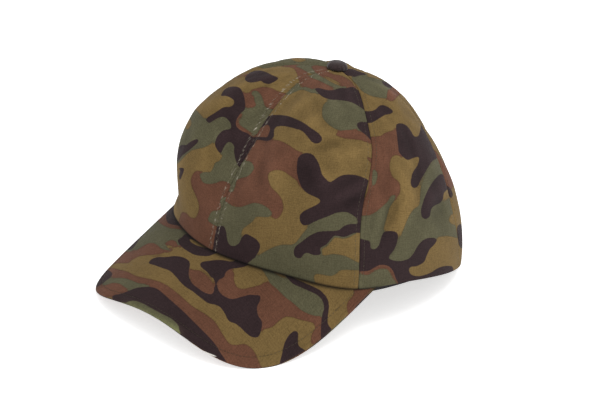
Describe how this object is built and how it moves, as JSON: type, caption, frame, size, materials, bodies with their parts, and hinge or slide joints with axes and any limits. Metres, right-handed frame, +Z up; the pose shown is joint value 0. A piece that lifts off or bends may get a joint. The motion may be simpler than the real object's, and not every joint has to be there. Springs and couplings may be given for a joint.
{
  "type": "patrol cap",
  "caption": "Cloth field cap in woodland camouflage: rounded crown of sewn panels, curved stiff peak, dark sweatband and a cloth-covered top button.",
  "frame": {"origin": "on the resting surface, under the middle of the cap's bounding box", "axes": "+Z up through the crown, -Y forward along the peak, +X to the wearer's left"},
  "size_m": [0.1934, 0.2518, 0.1431],
  "materials": {
    "crown_cloth": "matt printed cotton twill",
    "peak_cloth": "matt printed cotton twill over a stiff board",
    "band_cloth": "matt dark woven tape",
    "button_cloth": "matt dark cloth"
  },
  "bodies": {
    "root": {"front_left_panel": "crown_cloth", "front_right_panel": "crown_cloth", "side_left_panel": "crown_cloth", "side_right_panel": "crown_cloth", "rear_left_panel": "crown_cloth", "rear_right_panel": "crown_cloth", "peak": "peak_cloth", "sweatband": "band_cloth", "button": "button_cloth"}
  },
  "joints": []
}
